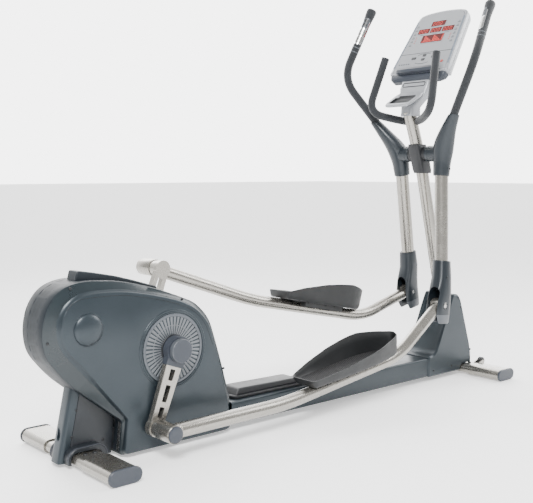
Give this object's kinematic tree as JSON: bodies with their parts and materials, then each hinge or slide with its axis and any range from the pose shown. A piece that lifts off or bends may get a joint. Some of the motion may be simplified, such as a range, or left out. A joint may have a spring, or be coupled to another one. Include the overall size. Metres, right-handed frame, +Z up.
{
  "type": "elliptical trainer",
  "caption": "Rear-drive elliptical cross trainer with foot pedals on long links, swinging arm handles, fixed handlebar and tilted console on a mast.",
  "frame": {"origin": "bottom centre of the bounding box, on the floor", "axes": "+X toward the console end, +Y the left of a user facing the console, +Z up"},
  "size_m": [2.2198, 0.6436, 1.6672],
  "materials": {
    "housing_paint": "satin metallic blue-grey, fine orange peel",
    "dark_cover": "satin dark teal-grey plastic",
    "black_cover": "fine-textured near-black plastic",
    "arm_cover": "satin dark slate-blue plastic",
    "silver_paint": "satin champagne-silver powder paint",
    "silver_plastic": "satin silver plastic",
    "console_panel": "silver-grey overlay",
    "blue_grey_plastic": "satin dark blue-grey plastic",
    "foam_grip": "charcoal foam",
    "pedal_plastic": "textured black plastic",
    "pedal_mat": "black rubber with raised studs",
    "machined_steel": "turned steel",
    "frame_paint": "satin black paint",
    "belt_rubber": "ribbed belt rubber",
    "fan_plastic": "light grey ribbed plastic",
    "display_red": "red LED windows",
    "key_plastic": "soft-touch keys"
  },
  "bodies": {
    "frame": {"left_housing_shell": "housing_paint", "right_housing_shell": "housing_paint", "rear_column": "housing_paint", "beam_cover": "housing_paint", "tower_cover": "housing_paint", "housing_center_band": "dark_cover", "housing_spine": "dark_cover", "rear_tower_cover": "dark_cover", "beam_top_cover": "black_cover", "mast_hub_cover": "black_cover", "rear_stabilizer": "silver_paint", "front_stabilizer": "silver_paint", "mast": "silver_paint", "console_back": "silver_plastic", "console_neck": "silver_plastic", "accessory_tray": "silver_plastic", "console_face": "console_panel", "left_rear_foot_cap": "blue_grey_plastic", "right_rear_foot_cap": "blue_grey_plastic", "left_front_foot_cap": "blue_grey_plastic", "right_front_foot_cap": "blue_grey_plastic", "console_lip": "blue_grey_plastic", "fixed_handlebar": "foam_grip", "pivot_axle": "machined_steel", "base_frame": "frame_paint", "drive_belt": "belt_rubber", "display_panel": "display_red"},
    "crank": {"crank_axle": "machined_steel", "crank_pulley": "machined_steel", "left_crank_disc": "fan_plastic", "right_crank_disc": "fan_plastic", "left_crank_arm": "silver_paint", "right_crank_arm": "silver_paint", "left_crank_hub": "blue_grey_plastic", "right_crank_hub": "blue_grey_plastic"},
    "flywheel": {"flywheel": "machined_steel"},
    "left_arm": {"left_swing_tube": "silver_paint", "left_handle_grip": "foam_grip", "left_upper_cover": "arm_cover", "left_lower_shroud": "arm_cover", "left_lower_pivot_pin": "machined_steel"},
    "left_link": {"left_link_tube": "silver_paint", "left_link_cap": "blue_grey_plastic", "left_pedal": "pedal_plastic", "left_pedal_mat": "pedal_mat"},
    "left_wheel": {"left_transport_wheel": "black_cover"},
    "right_arm": {"right_swing_tube": "silver_paint", "right_handle_grip": "foam_grip", "right_upper_cover": "arm_cover", "right_lower_shroud": "arm_cover", "right_lower_pivot_pin": "machined_steel"},
    "right_link": {"right_link_tube": "silver_paint", "right_link_cap": "blue_grey_plastic", "right_pedal": "pedal_plastic", "right_pedal_mat": "pedal_mat"},
    "right_wheel": {"right_transport_wheel": "black_cover"},
    "key_start_cap": {"key_start": "key_plastic"},
    "key_stop_cap": {"key_stop": "key_plastic"},
    "key_up_cap": {"key_up": "key_plastic"},
    "key_down_cap": {"key_down": "key_plastic"}
  },
  "joints": [
    {"name": "crank_spin", "type": "hinge", "parent": "frame", "child": "crank", "pos_m": [-0.6461, 0, 0.338], "axis": [0, 1, 0], "range_deg": [0, 180]},
    {"name": "flywheel_spin", "type": "hinge", "parent": "frame", "child": "flywheel", "pos_m": [-0.9641, 0, 0.44], "axis": [0, 1, 0], "continuous": true},
    {"name": "right_arm_swing", "type": "hinge", "parent": "frame", "child": "right_arm", "pos_m": [0.7479, -0.07, 1.007], "axis": [0, -1, 0], "range_deg": [0, 16.98]},
    {"name": "left_arm_swing", "type": "hinge", "parent": "frame", "child": "left_arm", "pos_m": [0.7479, 0.07, 1.007], "axis": [0, -1, 0], "range_deg": [-16.98, 0]},
    {"name": "right_link_pivot", "type": "hinge", "parent": "right_arm", "child": "right_link", "pos_m": [0.68303, -0.165, 0.35874], "axis": [0, -1, 0], "range_deg": [-36.15, 0]},
    {"name": "left_link_pivot", "type": "hinge", "parent": "left_arm", "child": "left_link", "pos_m": [0.87512, 0.165, 0.36804], "axis": [0, -1, 0], "range_deg": [0, 36.15]},
    {"name": "right_wheel_roll", "type": "hinge", "parent": "frame", "child": "right_wheel", "pos_m": [1.0899, -0.104, 0.046], "axis": [0, 1, 0], "continuous": true},
    {"name": "left_wheel_roll", "type": "hinge", "parent": "frame", "child": "left_wheel", "pos_m": [1.0899, 0.104, 0.046], "axis": [0, 1, 0], "continuous": true},
    {"name": "key_start_press", "type": "slide", "parent": "frame", "child": "key_start_cap", "axis": [0.8339, 0, -0.5519], "range_m": [0, 0.0009], "stiffness_N_per_m": 600},
    {"name": "key_stop_press", "type": "slide", "parent": "frame", "child": "key_stop_cap", "axis": [0.8339, 0, -0.5519], "range_m": [0, 0.0009], "stiffness_N_per_m": 600},
    {"name": "key_up_press", "type": "slide", "parent": "frame", "child": "key_up_cap", "axis": [0.8339, 0, -0.5519], "range_m": [0, 0.0009], "stiffness_N_per_m": 600},
    {"name": "key_down_press", "type": "slide", "parent": "frame", "child": "key_down_cap", "axis": [0.8339, 0, -0.5519], "range_m": [0, 0.0009], "stiffness_N_per_m": 600}
  ],
  "couplings": [
    {"joint": "right_arm_swing", "follows": "crank_spin", "ratio": 0.094306},
    {"joint": "left_arm_swing", "follows": "crank_spin", "ratio": -0.094306},
    {"joint": "right_link_pivot", "follows": "crank_spin", "ratio": -0.20084},
    {"joint": "left_link_pivot", "follows": "crank_spin", "ratio": 0.20084},
    {"joint": "flywheel_spin", "follows": "crank_spin", "ratio": 4.1176}
  ]
}
